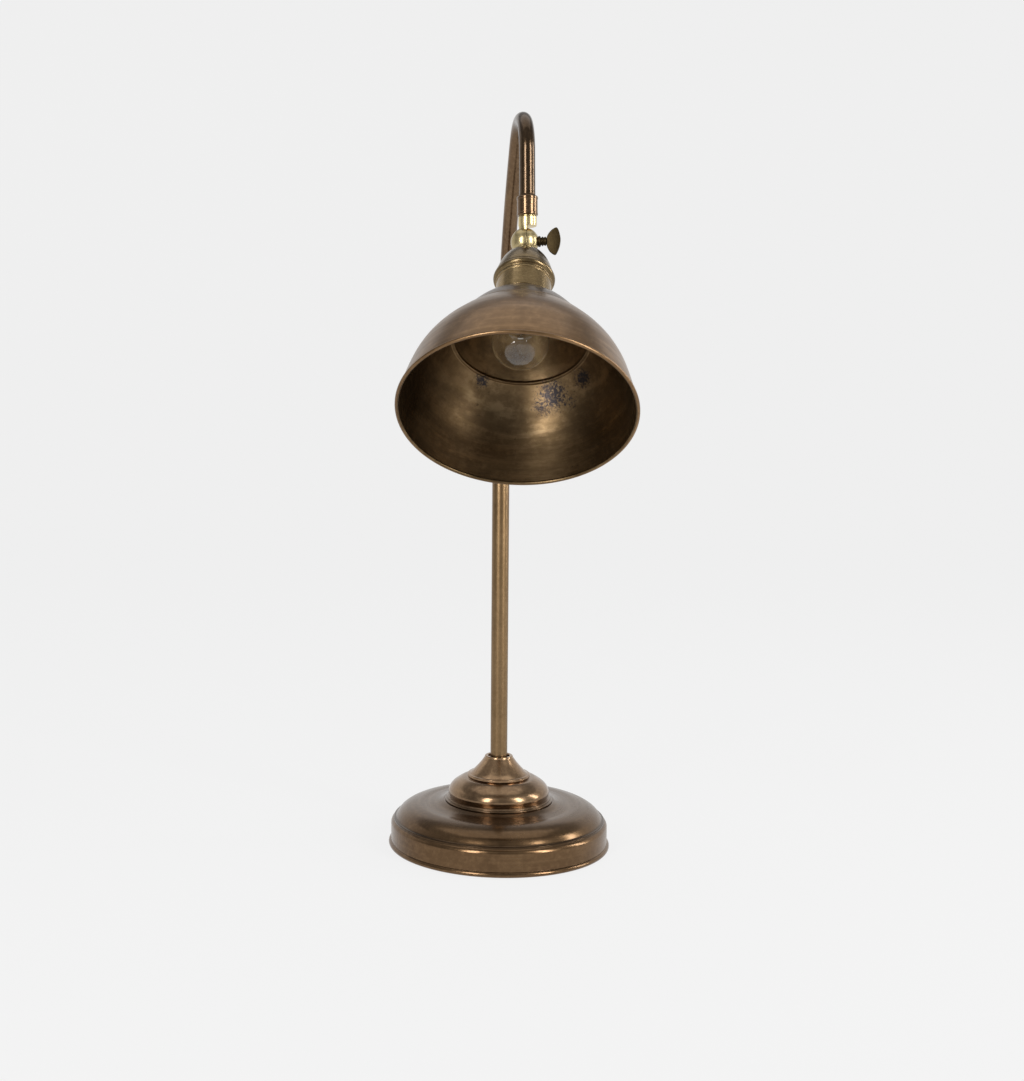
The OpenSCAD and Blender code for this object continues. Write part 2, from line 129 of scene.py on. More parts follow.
def rounded(pts, radius, steps=4, limit=18.0, closed=False):
    """Rounds each corner sharper than limit degrees, so that every edge catches the light."""
    out = []
    n = len(pts)
    for i, p in enumerate(pts):
        if not closed and i in (0, n - 1):
            out.append(p)
            continue
        a, b = pts[i - 1], pts[(i + 1) % n]
        va, vb = (a[0] - p[0], a[1] - p[1]), (b[0] - p[0], b[1] - p[1])
        la, lb = math.hypot(*va), math.hypot(*vb)
        if la < 1e-6 or lb < 1e-6:
            continue
        dot = max(-1.0, min(1.0, (va[0] * vb[0] + va[1] * vb[1]) / (la * lb)))
        turn = 180 - math.degrees(math.acos(dot))
        if turn < limit or (abs(p[0]) < 1e-6):
            out.append(p)
            continue
        d = min(radius * math.tan(math.radians(turn / 2)), la * 0.45, lb * 0.45)
        s = (p[0] + va[0] / la * d, p[1] + va[1] / la * d)
        e = (p[0] + vb[0] / lb * d, p[1] + vb[1] / lb * d)
        for j in range(steps + 1):
            u = j / steps
            out.append(tuple((1 - u) ** 2 * s[k] + 2 * u * (1 - u) * p[k] + u * u * e[k] for k in (0, 1)))
    return out


# ---------------------------------------------------------------- mesh makers
def add(name, bm, place, body, nodes, mats):
    """Makes a smooth object from bm that rides on a body and takes the place of its CAD nodes."""
    bmesh.ops.remove_doubles(bm, verts=bm.verts, dist=1e-7)
    bmesh.ops.recalc_face_normals(bm, faces=bm.faces)
    me = bpy.data.meshes.new(name)
    bm.to_mesh(me)
    bm.free()
    ob = bpy.data.objects.new(name, me)
    bpy.context.scene.collection.objects.link(ob)
    ob.matrix_world = place
    for m in mats:
        me.materials.append(m)
    me.polygons.foreach_set("use_smooth", [True] * len(me.polygons))
    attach(ob, body)
    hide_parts(*nodes)
    return ob


def revolve(bm, pts, segs, turn=None, mat_of=None):
    """Turns a closed profile (radius, height, in mm) about Z. Points on the axis become one vertex."""
    m = turn or UPRIGHT
    rings = []
    for r, z in pts:
        if r < 1e-6:
            rings.append([bm.verts.new(m @ Vector((0, 0, z * MM)))])
        else:
            rings.append([bm.verts.new(m @ Vector((r * MM * math.cos(2 * math.pi * i / segs),
                                                   r * MM * math.sin(2 * math.pi * i / segs), z * MM)))
                          for i in range(segs)])
    n = len(rings)
    for k in range(n):
        a, b = rings[k], rings[(k + 1) % n]
        if len(a) == 1 and len(b) == 1:
            continue
        for i in range(segs):
            j = (i + 1) % segs
            if len(a) == 1:
                f = bm.faces.new((a[0], b[i], b[j]))
            elif len(b) == 1:
                f = bm.faces.new((a[i], b[0], a[j]))
            else:
                f = bm.faces.new((a[i], b[i], b[j], a[j]))
            f.material_index = mat_of(k) if mat_of else 0
    return bm


def lathe(name, pts, place, body, nodes, mats, segs=160, turn=None, mat_of=None, edge=0.25):
    pts = rounded(pts, edge, closed=True) if edge else pts
    return add(name, revolve(bmesh.new(), pts, segs, turn, mat_of), place, body, nodes, mats)


def tube_along(bm, path, radius, segs):
    """A closed rod along a path of Vectors in the YZ plane."""
    rings = []
    for i, p in enumerate(path):
        t = (path[min(i + 1, len(path) - 1)] - path[max(i - 1, 0)]).normalized()
        u = Vector((1, 0, 0))
        v = t.cross(u).normalized()
        turns = [2 * math.pi * k / segs for k in range(segs)]
        rings.append([bm.verts.new(p + radius * (math.cos(a) * u + math.sin(a) * v)) for a in turns])
    for a, b in zip(rings, rings[1:]):
        for k in range(segs):
            bm.faces.new((a[k], a[(k + 1) % segs], b[(k + 1) % segs], b[k]))
    bm.faces.new(list(reversed(rings[0])))
    bm.faces.new(rings[-1])
    return bm


# ---------------------------------------------------------------- materials
class Nodes:
    """A short way to build a node material."""

    def __init__(self, name):
        self.mat = bpy.data.materials.new(name)
        self.mat.use_nodes = True
        self.nt = self.mat.node_tree
        self.nt.nodes.clear()
        self.out = self.nt.nodes.new("ShaderNodeOutputMaterial")
        self.bsdf = self.nt.nodes.new("ShaderNodeBsdfPrincipled")
        self.nt.links.new(self.bsdf.outputs[0], self.out.inputs[0])
        self.coord = self.nt.nodes.new("ShaderNodeTexCoord").outputs["Object"]

    def link(self, a, b):
        self.nt.links.new(a, b)

    def put(self, socket, value):
        if hasattr(value, "is_linked"):
            self.link(value, socket)
        else:
            socket.default_value = value

    def math(self, op, a, b=0.0):
        n = self.nt.nodes.new("ShaderNodeMath")
        n.operation = op
        for s, v in zip(n.inputs, (a, b)):
            self.put(s, v)
        return n.outputs[0]

    def split(self, v):
        n = self.nt.nodes.new("ShaderNodeSeparateXYZ")
        self.link(v, n.inputs[0])
        return n.outputs

    def join(self, x, y, z):
        n = self.nt.nodes.new("ShaderNodeCombineXYZ")
        for s, v in zip(n.inputs, (x, y, z)):
            self.put(s, v)
        return n.outputs[0]

    def noise(self, vec, scale, detail=4.0, rough=0.55, distort=0.0):
        n = self.nt.nodes.new("ShaderNodeTexNoise")
        self.link(vec, n.inputs["Vector"])
        n.inputs["Scale"].default_value = scale
        n.inputs["Detail"].default_value = detail
        n.inputs["Roughness"].default_value = rough
        n.inputs["Distortion"].default_value = distort
        return n.outputs["Fac"]

    def ramp(self, fac, lo, hi, a=0.0, b=1.0):
        n = self.nt.nodes.new("ShaderNodeMapRange")
        n.clamp = True
        self.link(fac, n.inputs["Value"])
        for s, v in zip(list(n.inputs)[1:5], (lo, hi, a, b)):
            self.put(s, v)
        return n.outputs[0]

    def mix(self, fac, a, b, mode="MIX"):
        n = self.nt.nodes.new("ShaderNodeMix")
        n.data_type, n.blend_type = "RGBA", mode
        self.put(n.inputs[0], fac)
        for s, v in ((n.inputs[6], a), (n.inputs[7], b)):
            self.put(s, v if hasattr(v, "is_linked") else (*v, 1.0))
        return n.outputs[2]

    def bump(self, height, strength, distance):
        n = self.nt.nodes.new("ShaderNodeBump")
        n.inputs["Strength"].default_value = strength
        n.inputs["Distance"].default_value = distance
        self.link(height, n.inputs["Height"])
        return n.outputs[0]

    def distance(self, point):
        n = self.nt.nodes.new("ShaderNodeVectorMath")
        n.operation = "DISTANCE"
        self.link(self.coord, n.inputs[0])
        n.inputs[1].default_value = point
        return n.outputs["Value"]

    def round_coord(self, around, along):
        """A vector that changes slowly one way and fast the other on a turned piece, for spin marks."""
        x, y, z = self.split(self.coord)
        r = self.math("MAXIMUM", self.math("SQRT", self.math("ADD", self.math("MULTIPLY", x, x),
                                                             self.math("MULTIPLY", y, y))), 1e-5)
        return self.join(self.math("MULTIPLY", self.math("DIVIDE", x, r), around),
                         self.math("MULTIPLY", self.math("DIVIDE", y, r), around),
                         self.math("MULTIPLY", self.math("ADD", z, self.math("MULTIPLY", r, 0.8)), along))


SPECK, STAIN = (0.02, 0.016, 0.012), (0.02, 0.02, 0.025)
COAT_ROUGHNESS, GLASS_IOR = 0.12, 1.46


def metal(name, dark, mid, light, rough=(0.25, 0.4), patch=22.0, marks=None, mark_mix=0.35, bump=0.06,
          coat=0.0, specks=0.25, stains=(), painted_shading=()):
    """Aged, lacquered metal: cloudy patina, turning or drawing marks, and small dark specks.

    marks is (steps around, steps per metre along). Each of stains is (x, y, z, radius) in mm.
    The last argument lists (axis, from, to, gain before, gain after), in mm: painted light and shade,
    which makes the colour lighter or darker along the piece.
    """
    n = Nodes(name)
    cloud = n.noise(n.coord, patch, 6.0, 0.6, 0.4)
    fine = n.noise(n.coord, patch * 14, 5.0, 0.65)
    grain = n.noise(n.coord, patch * 90, 3.0, 0.6)
    color = n.mix(n.ramp(cloud, 0.34, 0.66), dark, mid)
    color = n.mix(n.ramp(fine, 0.45, 0.72, 0.0, 0.55), color, light)
    if marks:
        around, along = marks
        lines = n.noise(n.round_coord(around, along), 1.0, 5.0, 0.62)
        color = n.mix(n.ramp(lines, 0.47, 0.62, 0.0, mark_mix), color, dark)
        color = n.mix(n.ramp(lines, 0.45, 0.34, 0.0, mark_mix), color, light)
        height = n.math("ADD", n.math("MULTIPLY", lines, 0.8), n.math("MULTIPLY", grain, 0.3))
    else:
        lines = fine
        height = grain
    spots = n.noise(n.coord, patch * 26, 2.0, 0.5, 0.8)
    color = n.mix(n.ramp(spots, 0.68, 0.78, 0.0, specks), color, SPECK)
    if stains:
        flecks = n.noise(n.coord, 520.0, 5.0, 0.75, 0.6)
    for x, y, z, size in stains:
        d = n.distance((x * MM, y * MM, z * MM))
        near = n.ramp(d, size * MM * 1.3, size * MM * 0.2)
        color = n.mix(n.ramp(n.math("ADD", n.math("MULTIPLY", near, 0.4), flecks), 0.76, 0.88, 0.0, 0.93),
                      color, STAIN)
    # Painted light and shade: the colour is multiplied by a gain that changes along one axis.
    for axis, lo, hi, before, after in painted_shading:
        gain = n.ramp(n.split(n.coord)["XYZ".index(axis)], lo * MM, hi * MM, before, after)
        color = n.mix(1.0, color, n.join(gain, gain, gain), "MULTIPLY")
    n.link(color, n.bsdf.inputs["Base Color"])
    n.bsdf.inputs["Metallic"].default_value = 1.0
    wear = n.math("ADD", n.math("MULTIPLY", cloud, 0.5), n.math("MULTIPLY", lines, 0.5))
    n.link(n.ramp(wear, 0.35, 0.65, rough[0], rough[1]), n.bsdf.inputs["Roughness"])
    n.link(n.bump(height, bump, 0.0004), n.bsdf.inputs["Normal"])
    if coat:
        n.bsdf.inputs["Coat Weight"].default_value = coat
        n.bsdf.inputs["Coat Roughness"].default_value = COAT_ROUGHNESS
    return n.mat


def dull(name, base, light, rough, scale=300.0, bump=0.2, sheen=0.0):
    """Moulded plastic, cast iron, felt or sleeve."""
    n = Nodes(name)
    a = n.noise(n.coord, scale, 5.0, 0.6)
    b = n.noise(n.coord, scale * 0.08, 4.0, 0.5)
    n.link(n.mix(n.ramp(n.math("ADD", n.math("MULTIPLY", a, 0.6), n.math("MULTIPLY", b, 0.4)), 0.35, 0.65),
                 base, light),
           n.bsdf.inputs["Base Color"])
    n.link(n.ramp(a, 0.3, 0.7, rough[0], rough[1]), n.bsdf.inputs["Roughness"])
    n.link(n.bump(a, bump, 0.0003), n.bsdf.inputs["Normal"])
    if sheen:
        n.bsdf.inputs["Sheen Weight"].default_value = sheen
    return n.mat


def clear_glass(name, tint, clear=1.0, haze=0.05):
    """Glass with a faint film. clear is how much light passes, haze the film's roughness."""
    n = Nodes(name)
    n.bsdf.inputs["Base Color"].default_value = (*tint, 1)
    n.bsdf.inputs["Transmission Weight"].default_value = clear
    n.bsdf.inputs["IOR"].default_value = GLASS_IOR
    film = n.noise(n.coord, 60.0, 3.0, 0.5)
    n.link(n.ramp(film, 0.3, 0.8, 0.0, haze), n.bsdf.inputs["Roughness"])
    return n.mat


# Painted shade: the colour is halved in a band round the shoulder (z 25.6 to 27.4 mm); the wall below is
# painted a little lighter.
BASE_BRONZE = metal("base_bronze", (0.103, 0.059, 0.0285), (0.149, 0.088, 0.043), (0.206, 0.127, 0.0655),
                    rough=(0.17, 0.3), patch=16, marks=(1.2, 400), mark_mix=0.25, bump=0.02, coat=0.12,
                    painted_shading=[("Z", 25.0, 25.6, 1.08, 0.5), ("Z", 27.4, 29.0, 1.0, 1.85)])
# Painted shade at the dome's foot (darker below z 46.6 mm) and a painted highlight on the flared collar
# (lighter above z 69.4 mm).
DOME_BRONZE = metal("dome_bronze", (0.17, 0.104, 0.057), (0.268, 0.17, 0.093), (0.38, 0.252, 0.144),
                    rough=(0.17, 0.3), patch=22, marks=(1.2, 400), mark_mix=0.2, bump=0.018, coat=0.2,
                    painted_shading=[("Z", 46.6, 48.6, 0.6, 1.0), ("Z", 66.0, 69.4, 1.0, 1.25)])
POLE_BRASS = metal("pole_brass", (0.165, 0.102, 0.048), (0.233, 0.15, 0.075), (0.295, 0.194, 0.101),
                   rough=(0.3, 0.42), patch=20, marks=(30, 14), mark_mix=0.5, bump=0.08, coat=0.1)
# Painted shade: the crook's part more than 128 mm out is painted darker; parts less than 100 mm out are
# painted a little lighter.
ARM_BRONZE = metal("arm_bronze", (0.104, 0.062, 0.032), (0.16, 0.1, 0.054), (0.228, 0.147, 0.081),
                   rough=(0.16, 0.3), patch=30, bump=0.04, coat=0.2,
                   painted_shading=[("Y", -128.0, -100.0, 0.55, 1.15)])
# Painted light: one brass as lit and shaded copies, the neck painted lighter (above z 13 mm) and the ball
# darker (below z 9 mm).
KNUCKLE_BRASS = metal("knuckle_brass", (0.44, 0.342, 0.163), (0.6, 0.484, 0.258), (0.74, 0.627, 0.378),
                      rough=(0.24, 0.36), patch=60, bump=0.03, specks=0.12,
                      painted_shading=[("Z", 9.0, 13.0, 0.84, 1.22)])
SCREW_BRONZE = metal("screw_bronze", (0.024, 0.016, 0.0072), (0.043, 0.03, 0.0135), (0.067, 0.0475, 0.0218),
                     rough=(0.34, 0.5), patch=70, bump=0.1)
# Painted light: the cup's band past 48 mm along the axis is painted lighter and its dome, above 44 mm,
# darker.
CUP_BRASS = metal("cup_brass", (0.139, 0.095, 0.0434), (0.23, 0.16, 0.077), (0.328, 0.236, 0.119),
                  rough=(0.2, 0.34), patch=36, marks=(2.0, 700), mark_mix=0.4, bump=0.06, coat=0.2,
                  painted_shading=[("Z", -48.0, -44.0, 1.4, 0.8)])
# Painted light and shade: the shade's upper part near the neck is painted darker and its lower body lighter;
# its side at +X is painted lighter, a painted reflection of the softbox on that side.
SHADE_OUT = metal("shade_brass_outside", (0.116, 0.068, 0.0325), (0.17, 0.1, 0.048), (0.238, 0.145, 0.0715),
                  rough=(0.27, 0.4), patch=12, marks=(1.6, 360), mark_mix=0.35, bump=0.08, coat=0.12,
                  painted_shading=[("Z", -116.0, -92.0, 1.22, 0.58), ("X", 10.0, 75.0, 1.0, 1.15)])
# Painted light: inside, the deep part behind the ridge (less than 109 mm along the axis) is painted lighter
# and the bowl past 124 mm a little darker; the stains are tarnish.
SHADE_IN = metal("shade_brass_inside", (0.085, 0.054, 0.0272), (0.172, 0.113, 0.056), (0.262, 0.179, 0.0955),
                 rough=(0.28, 0.44), patch=14, marks=(1.8, 190), mark_mix=0.75, bump=0.3, specks=0.6,
                 stains=[(22, 57, -113, 22), (46, 38, -112, 13), (-35, 45, -106, 11), (12, 62, -122, 12),
                         (34, 52, -124, 12)],
                 painted_shading=[("Z", -124.0, -109.0, 0.86, 1.35)])
STEEL = metal("steel_zinc", (0.4, 0.4, 0.41), (0.55, 0.55, 0.56), (0.7, 0.7, 0.7), rough=(0.25, 0.4),
              patch=80)
BRIGHT_BRASS = metal("contact_brass", (0.5, 0.38, 0.15), (0.7, 0.55, 0.26), (0.8, 0.66, 0.35), patch=80)
CAP_METAL = metal("bulb_cap_metal", (0.13, 0.115, 0.09), (0.22, 0.195, 0.16), (0.34, 0.31, 0.26),
                  rough=(0.3, 0.45), patch=60)
IRON = dull("cast_iron", (0.03, 0.03, 0.032), (0.07, 0.07, 0.07), (0.55, 0.75), 260, 0.5)
FELT = dull("felt", (0.012, 0.012, 0.012), (0.035, 0.033, 0.03), (0.9, 1.0), 1400, 0.8, sheen=0.4)
BLACK = dull("black_moulding", (0.012, 0.012, 0.013), (0.03, 0.03, 0.03), (0.3, 0.5), 900, 0.12)
WHITE = dull("white_moulding", (0.62, 0.6, 0.55), (0.8, 0.78, 0.72), (0.3, 0.5), 700, 0.1)
SLEEVE = dull("wire_sleeve", (0.015, 0.015, 0.015), (0.04, 0.04, 0.04), (0.4, 0.6), 1200, 0.2)
GLASS = clear_glass("bulb_clear", (0.98, 0.98, 0.97))
MOUNT = clear_glass("mount_glass", (0.95, 0.94, 0.9), 0.6, 0.3)
FILAMENT = metal("filament_wire", (0.55, 0.53, 0.5), (0.7, 0.68, 0.64), (0.82, 0.8, 0.76), patch=200)

# ---------------------------------------------------------------- base
cover_top = ([(BASE_R - 2.2, 5.4), (BASE_R - 2.2, SHOULDER_Z - 6.4)]
             + arc((BASE_R - 7.2, SHOULDER_Z - 6.4), 5, 0, 52, 10)
             + [(BASE_R - 4.9, SHOULDER_Z - 1.9), (BASE_R - 4.9, SHOULDER_Z - 0.7),
                (BASE_R - 5.5, SHOULDER_Z - 0.1), (BASE_R - 6.5, SHOULDER_Z)]
             + spline([(BASE_R - 7.2, SHOULDER_Z + 0.5), (BASE_R - 11.6, SHOULDER_Z + 6.2),
                       (BASE_R - 19, SHOULDER_Z + 10.6), (BASE_R - 28.5, SHOULDER_Z + 12.8),
                       (BASE_R - 38, SHOULDER_Z + 13.2), (BASE_R - 46.5, SHOULDER_Z + 14.2),
                       (DOME_R + 1.5, DISH_Z)], 12))
cover = ([(BASE_R - 4.4, 0.4), (BASE_R - 2.5, 0.4)] + arc((BASE_R - 2.5, 2.9), 2.5, -80, 80, 24) + cover_top
         + [(6, DISH_Z), (6, IN_Z), (DOME_R - 4, IN_Z)]
         + spline([(DOME_R + 8, SHOULDER_Z + 12.8), (BASE_R - 33, SHOULDER_Z + 11.2),
                   (BASE_R - 21.5, SHOULDER_Z + 8.2), (BASE_R - 13.6, SHOULDER_Z + 3.8),
                   (BASE_R - 7.6, SHOULDER_Z - 2.6), (BASE_R - 3.8, SHOULDER_Z - 7.4)], 4)
         + [(BASE_R - 3.8, 5.4), (BASE_R - 4.8, 4.6)])
lathe("base_dish", cover, UPRIGHT, "base", ["base_cover"], [BASE_BRONZE], 288)

dome = ([(DOME_R - 0.5, DISH_Z), (DOME_R, DISH_Z + 0.5), (DOME_R, DISH_Z + 1.3), (DOME_R - 0.5, DISH_Z + 1.8),
         (DOME_R - 1.8, DISH_Z + 1.9), (DOME_R - 1.8, DISH_Z + 3.0), (DOME_R - 2.3, DISH_Z + 3.4)]
        + spline([(DOME_R - 4.4, DISH_Z + 3.6), (DOME_R - 3.9, DISH_Z + 5.4), (DOME_R - 3.3, DISH_Z + 8.2),
                  (DOME_R - 4.2, DISH_Z + 12.0), (DOME_R - 7, DISH_Z + 15.8), (DOME_R - 11.4, DISH_Z + 19.2),
                  (DOME_R - 16.2, DISH_Z + 21.8), (30.6, COLLAR_Z - 0.4)], 10)
        + [(29.6, COLLAR_Z), (6, COLLAR_Z), (6, COLLAR_Z - 1.5), (29, COLLAR_Z - 1.9)]
        + spline([(DOME_R - 16.8, DISH_Z + 20.0), (DOME_R - 12.4, DISH_Z + 17.6),
                  (DOME_R - 8.3, DISH_Z + 14.6),
                  (DOME_R - 5.8, DISH_Z + 11.2), (DOME_R - 5.0, DISH_Z + 8.0), (DOME_R - 5.6, DISH_Z + 4.6),
                  (DOME_R - 6, DISH_Z)], 4))
lathe("base_ogee", dome, UPRIGHT, "base", ["base_dome"], [DOME_BRONZE], 224)

collar = ([(6, COLLAR_Z), (29.2, COLLAR_Z), (29.8, COLLAR_Z + 0.5), (29.8, COLLAR_Z + 2.0),
           (29.0, COLLAR_Z + 2.6), (27.6, COLLAR_Z + 2.8)]
          + spline([(26.8, COLLAR_Z + 3.2), (24.2, COLLAR_Z + 5.4), (20.6, COLLAR_Z + 9.2),
                    (17.2, COLLAR_Z + 13.2), (14.4, COLLAR_Z + 17.0), (13.4, COLLAR_Z + 18.4)], 10)
          + [(13.4, COLLAR_Z + 19), (13.2, COLLAR_TOP - 0.4), (12.6, COLLAR_TOP), (10.6, COLLAR_TOP),
             (10.2, COLLAR_TOP - 0.4), (10.2, COLLAR_TOP - 6.6), (8.05, COLLAR_TOP - 6.6),
             (8.05, COLLAR_Z + 5.4),
             (6, COLLAR_Z + 5.4)])
lathe("base_flare", collar, UPRIGHT, "base", ["base_collar"], [DOME_BRONZE], 160)
lathe("foot_ring", [(8.02, COLLAR_TOP - 6.6), (10.1, COLLAR_TOP - 6.6), (10.1, COLLAR_TOP - 3.2),
                    (9.6, COLLAR_TOP - 2.6), (9.0, COLLAR_TOP - 1.6), (8.02, COLLAR_TOP - 1.2)],
      UPRIGHT, "base", ["pole_ring"], [BASE_BRONZE], 128)
lathe("felt_pad", [(0, 0.0), (BASE_R - 5.6, 0.0), (BASE_R - 5.1, 0.4), (BASE_R - 5.0, 1.2),
                   (BASE_R - 5.2, 2.0),
                   (0, 2.0)], UPRIGHT, "base", ["base_felt"], [FELT], 192)
lathe("pole", [(POLE_R - POLE_WALL, COLLAR_Z + 5.4), (POLE_R, COLLAR_Z + 5.4)]
      + [(POLE_R, COLLAR_Z + 5.4 + (POLE_TOP - COLLAR_Z - 5.4) * i / 24) for i in range(1, 25)]
      + [(POLE_R - POLE_WALL, POLE_TOP)], UPRIGHT, "base", ["pole_tube"], [POLE_BRASS], 128)
lathe("pole_sleeve", [(5.0, POLE_TOP - 32), (POLE_R - POLE_WALL, POLE_TOP - 32),
                      (POLE_R - POLE_WALL, POLE_TOP),
                      (POLE_R + 0.6, POLE_TOP), (POLE_R + 0.6, POLE_TOP + 1.6), (POLE_R + 0.2, POLE_TOP + 2),
                      (5.0, POLE_TOP + 2)], UPRIGHT, "base", ["pole_bearing"], [POLE_BRASS],
                      128)
BUSH = Matrix.Translation((0, 0, 14 * MM)) @ ALONG_Y
lathe("inlet_bush", [(3, 90), (4.2, 90), (4.2, BASE_R - 2.1), (6, BASE_R - 2.1), (5.2, BASE_R - 0.2),
                     (3, BASE_R - 0.2)],
      BUSH, "base", ["cord_inlet_bush"], [BLACK], 64)

# ---------------------------------------------------------------- arm
Z0 = POLE_TOP + 2.15
lathe("pivot", [(3, Z0 - 31), (4.93, Z0 - 31), (4.93, Z0), (9.0, Z0), (9.4, Z0 + 0.5), (9.4, Z0 + 2.4),
                (8.8, Z0 + 3), (8.2, Z0 + 3.4), (8.2, Z0 + 12), (9.0, Z0 + 12.4), (9.0, Z0 + 14.4),
                (8.4, Z0 + 15),
                (TUBE_R, Z0 + 15), (TUBE_R, Z0 + 5), (3, Z0 + 5)],
      UPRIGHT, "arm", ["arm_pivot"], [ARM_BRONZE], 128)

path = [(0.0, POLE_TOP + 7.15 + (LEAN_Z - POLE_TOP - 7.15) * i / 4) for i in range(4)]
path += [(C1[0] - SWEEP_R * cos(SWEEP_A * i / 80),
          C1[1] + SWEEP_R * sin(SWEEP_A * i / 80)) for i in range(80)]
path += [(C2[0] - BEND_R * cos(SWEEP_A + BEND_A * i / 90), C2[1] + BEND_R * sin(SWEEP_A + BEND_A * i / 90))
         for i in range(91)]
path += [(P2[0] + END_LEN * sin(END_LEAN) * i / 10,
          P2[1] - END_LEN * cos(END_LEAN) * i / 10) for i in range(1, 11)]
add("crook", tube_along(bmesh.new(), [Vector((0, -s * MM, z * MM)) for s, z in path], TUBE_R * MM, 96),
    UPRIGHT, "arm", ["crook_stem", "crook_bend"], [ARM_BRONZE])

lathe("ferrule", [(4.5, 21.2), (8.0, 21.2), (8.5, 21.7), (8.5, 23.1), (8.3, 23.4), (8.3, 34.2), (8.6, 34.5),
                  (8.6, 35.8), (8.1, 36.7), (TUBE_R, 36.7), (TUBE_R, 26.2), (4.5, 26.2)],
      KNUCKLE, "arm", ["arm_ferrule"], [ARM_BRONZE], 128)


def ball_part(bm, x0, x1, tip):
    """The part of the knuckle's ball between two distances along the hinge, about X."""
    pts = [(0, x0)]
    for i in range(25):
        x = x0 + (x1 - x0) * sin(90 * i / 24)
        pts.append((math.sqrt(max(BALL_R ** 2 - (x - BALL_X) ** 2, 0.0)), x))
    return revolve(bm, rounded(pts + ([(0, x1)] if tip else []), 0.4, closed=True), 96, ALONG_X)


def cut(bm, at, normal):
    """Cuts away the side that normal points to, and closes the cut."""
    bmesh.ops.bisect_plane(bm, geom=bm.verts[:] + bm.edges[:] + bm.faces[:], plane_co=at, plane_no=normal,
                           clear_outer=True)
    bmesh.ops.holes_fill(bm, edges=[e for e in bm.edges if e.is_boundary])


NECK = rounded([(0, 3), (6.6, 3), (6.9, 11.5), (7.4, 13.6), (7.4, 19.8), (7.0, 20.6), (7.0, 21.2),
                (4.5, 21.2),
                (4.5, 26), (0, 26)], 0.35, closed=True)
bm = ball_part(bmesh.new(), -0.12, BALL_X - BALL_R, False)
for planes in (((0, 0, 12.8 * MM), (0, 0, -1)),), (((-0.12 * MM, 0, 0), (1, 0, 0)),
                                                   ((0, 0, 12.8 * MM), (0, 0, 1))):
    part = revolve(bmesh.new(), NECK, 96)
    for at, normal in planes:
        cut(part, at, normal)
    tmp = bpy.data.meshes.new("part")
    part.to_mesh(tmp)
    part.free()
    bm.from_mesh(tmp)
    bpy.data.meshes.remove(tmp)
add("knuckle_upper", bm, KNUCKLE, "arm", ["knuckle_fork"],
    [KNUCKLE_BRASS]).data.set_sharp_from_angle(angle=math.radians(40))

# ---------------------------------------------------------------- thumbscrew
lathe("thumb_shank", [(0, -8.6), (2.4, -8.4), (2.4, 8.6), (4.0, 8.6), (4.4, 9.0), (4.4, 10.0), (4.0, 10.5),
                      (3.1, 10.7),
                      (3.1, 11.4), (3.8, 11.7), (3.8, 12.5), (3.1, 12.8), (3.1, 13.4), (3.6, 13.7),
                      (3.6, 14.6),
                      (3.0, 15.2), (0, 15.2)],
      KNUCKLE, "screw", ["thumb_screw"], [SCREW_BRONZE], 72, turn=ALONG_X)
wing = spline([(15.2, 2.2), (16.3, 5.2), (19.0, 8.6), (22.8, 10.8), (24.6, 9.6), (26.0, 5.4), (26.6, 0.4),
               (25.6, -5.4), (23.2, -10.6), (21.4, -11.3), (18.2, -9.0), (16.1, -5.6), (15.2, -2.2)], 6)
bm = bmesh.new()
layers = [(-1.1, 0.62), (-1.04, 0.30), (-0.8, 0.06), (-0.4, 0.0), (0.4, 0.0), (0.8, 0.06), (1.04, 0.30),
          (1.1, 0.62)]
rings = []
for y, inset in layers:
    loop = side(wing, inset) if inset else wing
    rings.append([bm.verts.new((x * MM, y * MM, z * MM)) for x, z in loop])
for a, b in zip(rings, rings[1:]):
    for k in range(len(a)):
        j = (k + 1) % len(a)
        bm.faces.new((a[k], a[j], b[j], b[k]))
bm.faces.new(list(reversed(rings[0])))
bm.faces.new(rings[-1])
add("thumb_fan", bm, KNUCKLE, "screw", ["thumb_wing"],
    [SCREW_BRONZE]).data.set_sharp_from_angle(
    angle=math.radians(50))

# ---------------------------------------------------------------- head
bm = ball_part(bmesh.new(), 0.12, 8.4, True)
stem = bmesh.ops.create_cube(bm, size=1.0, matrix=Matrix.Translation((3.12 * MM, 0, -7.9 * MM))
                             @ Matrix.Diagonal((6.0 * MM, 9.2 * MM, 9 * MM, 1)))
bmesh.ops.bevel(bm, geom=[e for e in bm.edges if all(v in stem["verts"] for v in e.verts)], offset=0.8 * MM,
                segments=3,
                affect="EDGES")
revolve(bm, rounded([(0, -13), (6.6, -13), (6.6, -11.7), (0, -11.7)], 0.4, closed=True), 96,
        Matrix.Translation((HEAD_SHIFT * MM, 0, 0)))
add("knuckle_lower", bm, TONGUE, "head", ["knuckle_tongue"],
    [KNUCKLE_BRASS]).data.set_sharp_from_angle(angle=math.radians(40))

cup_curve = spline([(6.8, 13.4), (10.4, 14.9), (14.2, 18.0), (17.6, 22.8), (20.3, 28.6), (22.1, 34.4),
                    (22.7, 37.2)], 10)
cup = ([(5.2, 13.0), (6.4, 13.0)] + cup_curve + [(23.2, 37.7), (23.4, 38.6), (23.3, 39.2)]
       + arc((21.9, 41.8), 2.6, -50, 62, 16)
       + [(22.3, 44.6), (21.9, 45.0), (21.9, 46.0), (22.4, 46.4), (22.4, 47.4), (21.7, 47.9), (21.7, NECK_T),
          (20.6, NECK_T), (20.6, 33.4)]
       + spline([(18.6, 28.4), (16.0, 23.6), (12.6, 19.2), (9.6, 16.4), (7.0, 14.6)], 4) + [(5.2, 14.6)])
lathe("cup", down(cup), HEAD, "head", ["holder_cup"], [CUP_BRASS], 192)

